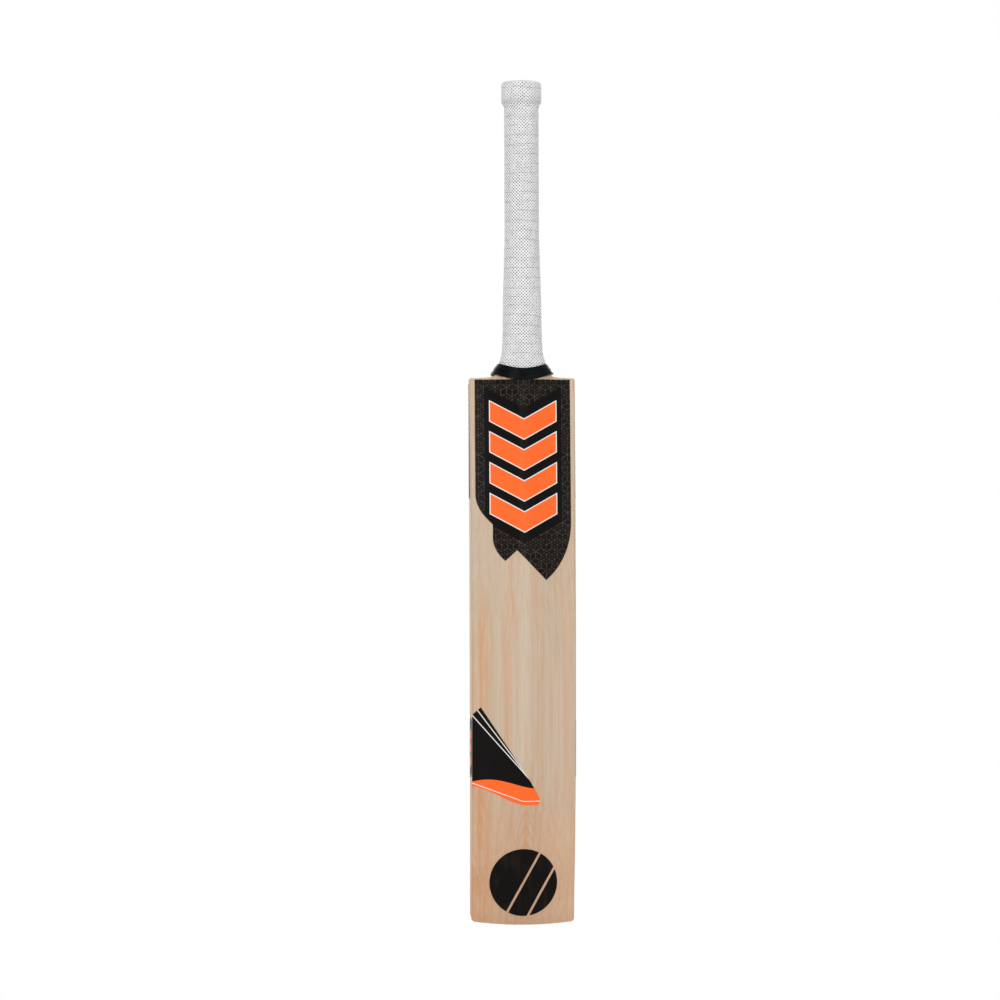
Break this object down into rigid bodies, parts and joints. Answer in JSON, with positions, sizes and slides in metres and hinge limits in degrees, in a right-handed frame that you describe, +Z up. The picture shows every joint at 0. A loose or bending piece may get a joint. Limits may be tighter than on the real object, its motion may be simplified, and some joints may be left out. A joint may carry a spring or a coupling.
{
  "type": "cricket bat",
  "caption": "Cricket bat with a bowed willow blade, a sprung cane handle spliced into it, a ribbed rubber grip, tape round the neck and plain black and orange films",
  "frame": {"origin": "On the ground under the middle of the standing bat, at the bottom of its toe.", "axes": "+Z up the blade to the handle, -Y the playing face, +Y the back, +X the right-hand edge seen from the face."},
  "size_m": [0.107, 0.0869, 0.8491],
  "materials": {
    "willow": "bare, lightly oiled",
    "cane": "sawn",
    "spring_rubber": "matte",
    "twine": "waxed",
    "grip_rubber": "dimpled",
    "tape": "gloss",
    "printed_film": "satin",
    "clear_film": "clear satin"
  },
  "bodies": {
    "root": {"back_flash": "printed_film", "back_shield": "printed_film", "blade": "willow", "cane_back_centre": "cane", "cane_back_left": "cane", "cane_back_right": "cane", "cane_front_centre": "cane", "cane_front_left": "cane", "cane_front_right": "cane", "cane_inner_back_centre": "cane", "cane_inner_back_left": "cane", "cane_inner_back_right": "cane", "cane_inner_front_centre": "cane", "cane_inner_front_left": "cane", "cane_inner_front_right": "cane", "face_label": "clear_film", "face_shield": "printed_film", "handle_tape_lower": "tape", "handle_tape_upper": "tape", "lower_edge_film_left": "printed_film", "lower_edge_film_right": "printed_film", "rubber_grip": "grip_rubber", "rubber_spring_back": "spring_rubber", "rubber_spring_front": "spring_rubber", "rubber_spring_middle": "spring_rubber", "toe_film_large": "printed_film", "toe_film_middle": "printed_film", "toe_film_small": "printed_film", "twine_binding": "twine", "upper_edge_film_left": "printed_film", "upper_edge_film_right": "printed_film"}
  },
  "joints": []
}
